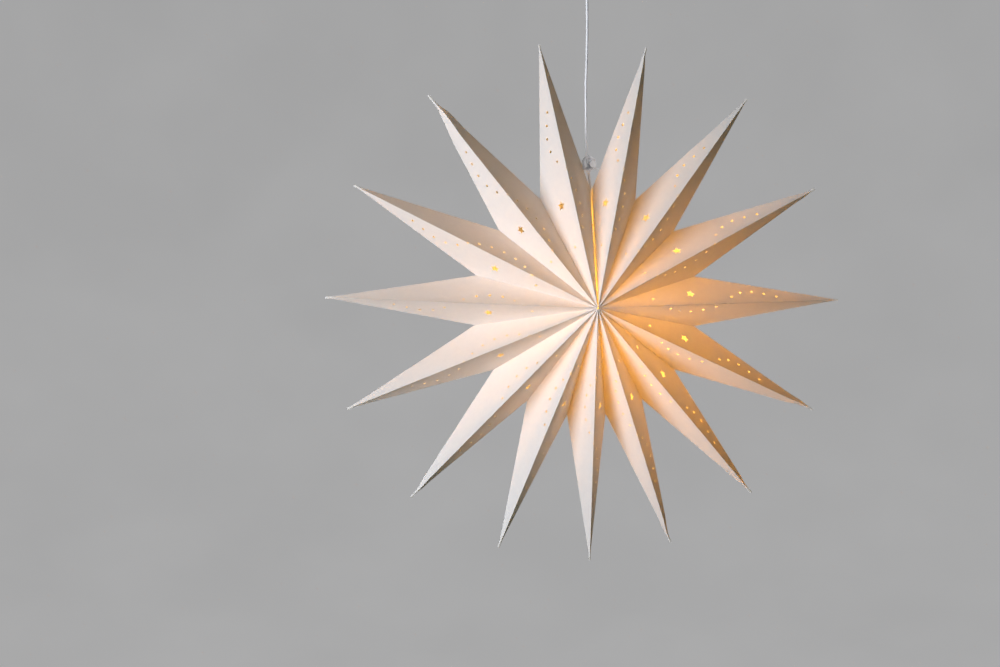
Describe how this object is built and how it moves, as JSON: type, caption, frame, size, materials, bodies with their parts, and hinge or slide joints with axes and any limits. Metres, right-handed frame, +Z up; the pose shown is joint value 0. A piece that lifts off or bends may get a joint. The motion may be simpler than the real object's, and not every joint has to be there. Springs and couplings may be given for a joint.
{
  "type": "paper star lantern",
  "caption": "Hanging star lantern of folded, perforated white paper with a warm lamp inside, on a thin lead from a small ceiling fitting.",
  "frame": {"origin": "centre of the ceiling plate's top face, which is screwed to the ceiling", "axes": "+Z up, the front of the star faces -Y, +X to the right seen from the front"},
  "size_m": [0.6009, 0.1494, 0.7255],
  "materials": {
    "paper": "matt white folded and perforated paper that lets lamplight through",
    "tie_cord": "matt white cotton string",
    "clip_plastic": "clear to milky moulded plastic",
    "cam_plastic": "white moulded plastic",
    "lead_sheath": "satin white flexible lead",
    "lamp_plastic": "smooth white moulded plastic",
    "ceramic": "unglazed off-white ceramic",
    "brass": "plain sprung strip",
    "bulb_glass": "clear warm glass, lit",
    "stem_glass": "clear pressed glass",
    "filament": "glowing yellow rods",
    "shell_metal": "rolled bright metal",
    "insulator": "black glass",
    "solder": "dull solder",
    "fitting_plastic": "satin white moulded plastic",
    "steel": "zinc-plated wire",
    "terminal_plastic": "off-white moulded plastic",
    "wire_sleeve": "brown insulated wire"
  },
  "bodies": {
    "ceiling": {"ceiling_plate": "fitting_plastic", "ceiling_hook": "steel"},
    "cup": {"ceiling_cup": "fitting_plastic"},
    "ring": {"hook_ring": "steel"},
    "hanger": {"lead_hanger": "fitting_plastic", "terminal_block": "terminal_plastic", "terminal_screws": "steel", "inner_wires": "wire_sleeve"},
    "star": {"point_01": "paper", "point_02": "paper", "point_03": "paper", "point_04": "paper", "point_05": "paper", "point_06": "paper", "point_07": "paper", "point_08": "paper", "point_09": "paper", "point_10": "paper", "point_11": "paper", "point_12": "paper", "point_13": "paper", "point_14": "paper", "point_15": "paper", "tie_front": "tie_cord", "tie_back": "tie_cord", "hanger_bar": "clip_plastic", "cord_clip": "clip_plastic", "pendant_lead": "lead_sheath"},
    "cam": {"grip_cam": "cam_plastic"},
    "lamp": {"lamp_lead": "lead_sheath", "cord_grip": "lamp_plastic", "holder_cap": "lamp_plastic", "holder_barrel": "lamp_plastic", "holder_core": "ceramic", "centre_contact": "brass", "side_contact": "brass"},
    "bulb_seat": {"tip_contact": "solder"},
    "bulb": {"bulb_glass": "bulb_glass", "bulb_stem": "stem_glass", "filament": "filament", "screw_shell": "shell_metal", "base_insulator": "insulator"}
  },
  "joints": [
    {"name": "cup_twist", "type": "hinge", "parent": "ceiling", "child": "cup", "pos_m": [0, 0, -0.004], "axis": [0, 0, 1], "range_deg": [0, 20]},
    {"name": "ring_swing", "type": "hinge", "parent": "ceiling", "child": "ring", "pos_m": [0, 0, -0.02], "axis": [1, 0, 0], "range_deg": [-7, 7]},
    {"name": "hanger_swing", "type": "hinge", "parent": "ring", "child": "hanger", "pos_m": [0, 0, -0.0292], "axis": [0, 1, 0], "range_deg": [-7, 7]},
    {"name": "lead_twist", "type": "hinge", "parent": "hanger", "child": "star", "pos_m": [0, 0, -0.045], "axis": [0, 0, 1], "range_deg": [-90, 90]},
    {"name": "lamp_swing", "type": "hinge", "parent": "star", "child": "lamp", "pos_m": [0.0057, 0, -0.3132], "axis": [1, 0, 0], "range_deg": [-8, 8]},
    {"name": "bulb_travel", "type": "slide", "parent": "lamp", "child": "bulb_seat", "axis": [0, 0, -1], "range_m": [0, 0.01692]},
    {"name": "bulb_turn", "type": "hinge", "parent": "bulb_seat", "child": "bulb", "pos_m": [0.005, 0, -0.425], "axis": [0, 0, -1], "range_deg": [0, 2160]},
    {"name": "cam_turn", "type": "hinge", "parent": "star", "child": "cam", "pos_m": [0.00846, 0, -0.26582], "axis": [0, 1, 0], "range_deg": [0, 150]}
  ],
  "couplings": [
    {"joint": "bulb_turn", "follows": "bulb_travel", "rad_per_m": 2228.1}
  ]
}
